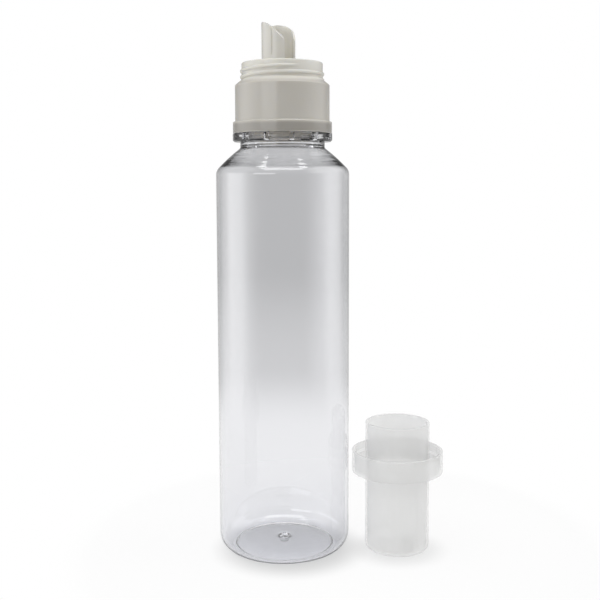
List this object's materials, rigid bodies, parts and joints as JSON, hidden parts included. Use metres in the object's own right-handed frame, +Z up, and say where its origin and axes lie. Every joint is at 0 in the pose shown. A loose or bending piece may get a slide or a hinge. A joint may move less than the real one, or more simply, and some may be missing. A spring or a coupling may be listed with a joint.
{
  "type": "detergent bottle with dosing cap",
  "caption": "Clear round bottle for liquid detergent with a white drain-back pourer snapped on its neck, and its translucent dosing cap standing beside it, mouth up.",
  "frame": {"origin": "on the ground, at the middle of the rectangle that the bottle and its cap cover together", "axes": "+Z up along the bottle's axis, +X from the bottle towards its cap, -Y towards the front"},
  "size_m": [0.1312, 0.0766, 0.3057],
  "materials": {
    "clear_plastic": "clear blown polyester, glossy inside and out",
    "white_plastic": "warm white injection moulded polypropylene with a soft sheen",
    "natural_plastic": "uncoloured, milky translucent polypropylene with a soft sheen"
  },
  "bodies": {
    "root": {"bottle": "clear_plastic", "pourer": "white_plastic", "dosing_cap": "natural_plastic"}
  },
  "joints": []
}
